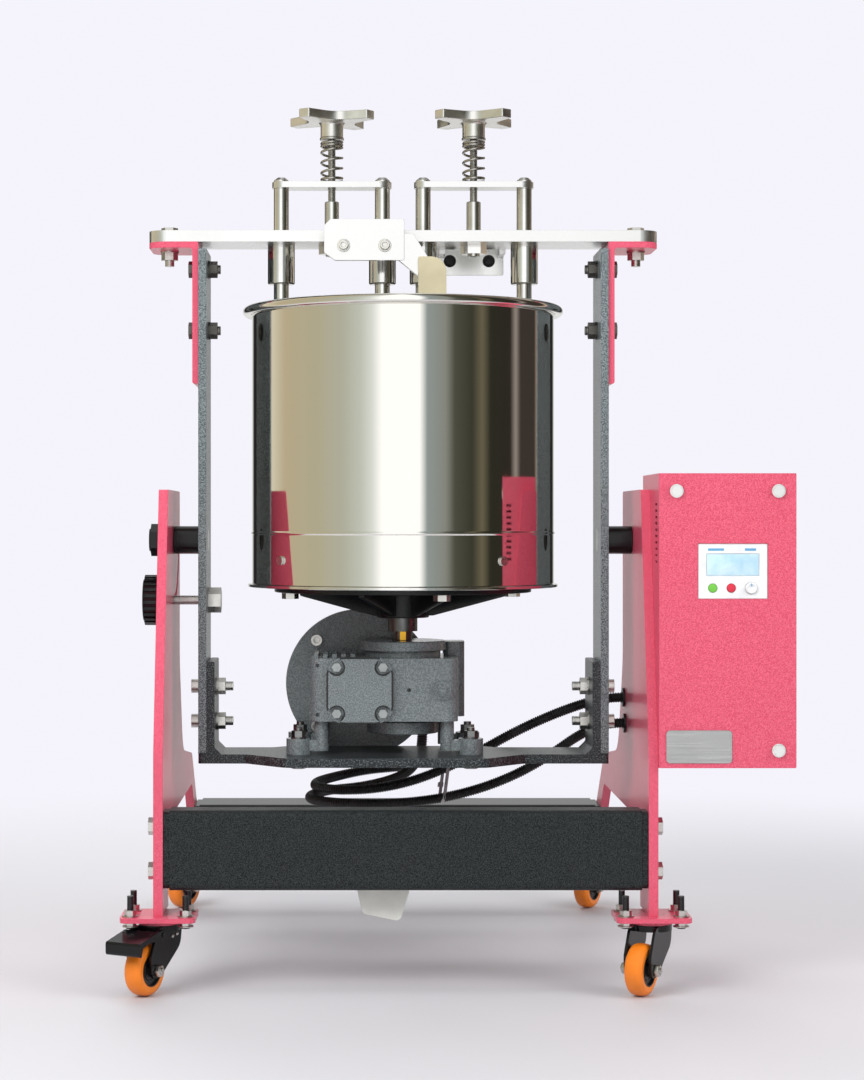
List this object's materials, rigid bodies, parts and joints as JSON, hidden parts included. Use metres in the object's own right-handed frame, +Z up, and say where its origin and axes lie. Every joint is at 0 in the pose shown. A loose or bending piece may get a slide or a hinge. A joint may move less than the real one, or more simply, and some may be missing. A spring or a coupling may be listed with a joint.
{
  "type": "chocolate melanger",
  "caption": "Tilting chocolate melanger: stainless drum with granite bed and rollers in a yoke with handwheel spring heads, geared motor, red castored frame and control box.",
  "frame": {"origin": "floor level under the centre of the machine's footprint box", "axes": "+Z up; +X to the operator's right, where the control box is; +Y from front to rear"},
  "size_m": [0.8566, 0.8038, 1.1378],
  "materials": {
    "red_plate": "hammered powder coat",
    "black_frame": "hammered black and grey powder coat",
    "zinc_steel": "zinc plated",
    "bright_bar": "ground bright",
    "mirror_steel": "polished stainless",
    "satin_steel": "satin stainless",
    "granite": "honed granite",
    "cast_case": "speckled grey paint",
    "bronze": "machined bronze",
    "orange_tyre": "polyurethane",
    "gloss_black": "gloss black",
    "black_plastic": "moulded, ribbed",
    "conduit_black": "corrugated nylon",
    "white_plastic": "moulded",
    "green_key": "moulded",
    "red_key": "moulded",
    "beige_plastic": "cut polyethylene",
    "pale_plastic": "sheet",
    "silver_plate": "brushed, bare",
    "spring_steel": "bright spring wire"
  },
  "bodies": {
    "frame": {"left_side_plate": "red_plate", "right_side_plate": "red_plate", "front_beam": "black_frame", "rear_beam": "gloss_black", "foot_plates": "red_plate", "frame_bolts": "zinc_steel", "trunnion_bushes": "bronze", "control_box": "red_plate", "control_box_cover": "red_plate", "control_box_screws": "zinc_steel", "keypad": "white_plastic", "nameplate": "silver_plate", "cable_glands": "black_plastic", "floor_tongue": "pale_plastic", "conduits": "conduit_black"},
    "yoke": {"yoke_arms": "black_frame", "yoke_base": "black_frame", "yoke_bolts": "zinc_steel", "top_brackets": "red_plate", "trunnions": "gloss_black", "top_bar": "bright_bar", "guide_bushes": "mirror_steel", "screw_bosses": "mirror_steel", "scraper_brackets": "bright_bar", "scraper_blade": "beige_plastic", "gearbox_housing": "cast_case", "gearbox_cover": "cast_case", "gearbox_bolts": "zinc_steel", "motor": "cast_case", "fan_cowl": "black_frame"},
    "drum": {"drum_shell": "mirror_steel", "drum_base": "satin_steel", "granite_base": "granite", "drive_shaft": "satin_steel", "drum_screws": "satin_steel"},
    "lock_knob": {"lock_knob": "black_plastic"},
    "run_button": {"run_button": "green_key"},
    "stop_button": {"stop_button": "red_key"},
    "speed_dial": {"speed_dial": "white_plastic"},
    "brake_pedal": {"brake_pedal": "gloss_black"},
    "left_head": {"left_posts": "mirror_steel", "left_bridge": "bright_bar", "left_spring": "spring_steel"},
    "left_stone": {"left_roller": "granite"},
    "left_seat": {"left_washer": "zinc_steel"},
    "left_wheel": {"left_handwheel": "satin_steel"},
    "right_head": {"right_posts": "mirror_steel", "right_bridge": "bright_bar", "right_spring": "spring_steel"},
    "right_stone": {"right_roller": "granite"},
    "right_seat": {"right_washer": "zinc_steel"},
    "right_wheel": {"right_handwheel": "satin_steel"},
    "front_left_fork": {"front_left_fork": "gloss_black"},
    "front_left_wheel": {"front_left_wheel": "orange_tyre"},
    "front_right_fork": {"front_right_fork": "gloss_black"},
    "front_right_wheel": {"front_right_wheel": "orange_tyre"},
    "rear_left_fork": {"rear_left_fork": "gloss_black"},
    "rear_left_wheel": {"rear_left_wheel": "orange_tyre"},
    "rear_right_fork": {"rear_right_fork": "gloss_black"},
    "rear_right_wheel": {"rear_right_wheel": "orange_tyre"}
  },
  "joints": [
    {"name": "yoke_tilt", "type": "hinge", "parent": "frame", "child": "yoke", "pos_m": [-0.05769, -0.15308, 0.5655], "axis": [1, 0, 0], "range_deg": [0, 90], "deforming": ["conduits"]},
    {"name": "drum_spin", "type": "hinge", "parent": "yoke", "child": "drum", "pos_m": [-0.05769, -0.15308, 0.508], "axis": [0, 0, 1], "continuous": true},
    {"name": "lock_knob_turn", "type": "hinge", "parent": "yoke", "child": "lock_knob", "pos_m": [-0.37269, -0.15308, 0.486], "axis": [1, 0, 0], "range_deg": [0, 180]},
    {"name": "run_press", "type": "slide", "parent": "frame", "child": "run_button", "axis": [0, 1, 0], "range_m": [0, 0.0012], "stiffness_N_per_m": 300, "springref_m": -0.001},
    {"name": "stop_press", "type": "slide", "parent": "frame", "child": "stop_button", "axis": [0, 1, 0], "range_m": [0, 0.0012], "stiffness_N_per_m": 300, "springref_m": -0.001},
    {"name": "speed_dial_turn", "type": "hinge", "parent": "frame", "child": "speed_dial", "pos_m": [0.37231, -0.34808, 0.507], "axis": [0, 1, 0], "range_deg": [0, 270]},
    {"name": "left_head_lift", "type": "slide", "parent": "yoke", "child": "left_head", "axis": [0, 0, 1], "range_m": [0, 0.006]},
    {"name": "left_stone_spin", "type": "hinge", "parent": "left_head", "child": "left_stone", "pos_m": [-0.15169, -0.15308, 0.6553], "axis": [1, 0, 0], "continuous": true},
    {"name": "left_screw_feed", "type": "slide", "parent": "yoke", "child": "left_seat", "axis": [0, 0, 1], "range_m": [-0.0092, 0.0032], "deforming": ["left_spring"]},
    {"name": "left_wheel_turn", "type": "hinge", "parent": "left_seat", "child": "left_wheel", "pos_m": [-0.15169, -0.15308, 1.039], "axis": [0, 0, 1], "range_deg": [-2160, 720]},
    {"name": "right_head_lift", "type": "slide", "parent": "yoke", "child": "right_head", "axis": [0, 0, 1], "range_m": [0, 0.006]},
    {"name": "right_stone_spin", "type": "hinge", "parent": "right_head", "child": "right_stone", "pos_m": [0.03631, -0.15308, 0.6553], "axis": [1, 0, 0], "continuous": true},
    {"name": "right_screw_feed", "type": "slide", "parent": "yoke", "child": "right_seat", "axis": [0, 0, 1], "range_m": [-0.0092, 0.0032], "deforming": ["right_spring"]},
    {"name": "right_wheel_turn", "type": "hinge", "parent": "right_seat", "child": "right_wheel", "pos_m": [0.03631, -0.15308, 1.039], "axis": [0, 0, 1], "range_deg": [-2160, 720]},
    {"name": "front_left_swivel", "type": "hinge", "parent": "frame", "child": "front_left_fork", "pos_m": [-0.36669, -0.31808, 0.091], "axis": [0, 0, 1], "continuous": true},
    {"name": "front_left_roll", "type": "hinge", "parent": "front_left_fork", "child": "front_left_wheel", "pos_m": [-0.38269, -0.34694, 0.0325], "axis": [0.8746, -0.4848, 0], "continuous": true},
    {"name": "front_right_swivel", "type": "hinge", "parent": "frame", "child": "front_right_fork", "pos_m": [0.25131, -0.31808, 0.091], "axis": [0, 0, 1], "continuous": true},
    {"name": "front_right_roll", "type": "hinge", "parent": "front_right_fork", "child": "front_right_wheel", "pos_m": [0.23531, -0.34694, 0.0325], "axis": [0.8746, -0.4848, 0], "continuous": true},
    {"name": "rear_left_swivel", "type": "hinge", "parent": "frame", "child": "rear_left_fork", "pos_m": [-0.36669, 0.36192, 0.091], "axis": [0, 0, 1], "continuous": true},
    {"name": "rear_left_roll", "type": "hinge", "parent": "rear_left_fork", "child": "rear_left_wheel", "pos_m": [-0.38269, 0.33306, 0.0325], "axis": [0.8746, -0.4848, 0], "continuous": true},
    {"name": "rear_right_swivel", "type": "hinge", "parent": "frame", "child": "rear_right_fork", "pos_m": [0.25131, 0.36192, 0.091], "axis": [0, 0, 1], "continuous": true},
    {"name": "rear_right_roll", "type": "hinge", "parent": "rear_right_fork", "child": "rear_right_wheel", "pos_m": [0.23531, 0.33306, 0.0325], "axis": [0.8746, -0.4848, 0], "continuous": true},
    {"name": "brake_press", "type": "hinge", "parent": "front_left_fork", "child": "brake_pedal", "pos_m": [-0.37833, -0.33907, 0.076], "axis": [0.8746, -0.4848, 0], "range_deg": [0, 10]}
  ],
  "couplings": [
    {"joint": "left_stone_spin", "follows": "drum_spin", "ratio": -1.175},
    {"joint": "left_screw_feed", "follows": "left_wheel_turn", "m_per_rad": 0.00023873},
    {"joint": "right_stone_spin", "follows": "drum_spin", "ratio": 1.175},
    {"joint": "right_screw_feed", "follows": "right_wheel_turn", "m_per_rad": 0.00023873}
  ]
}
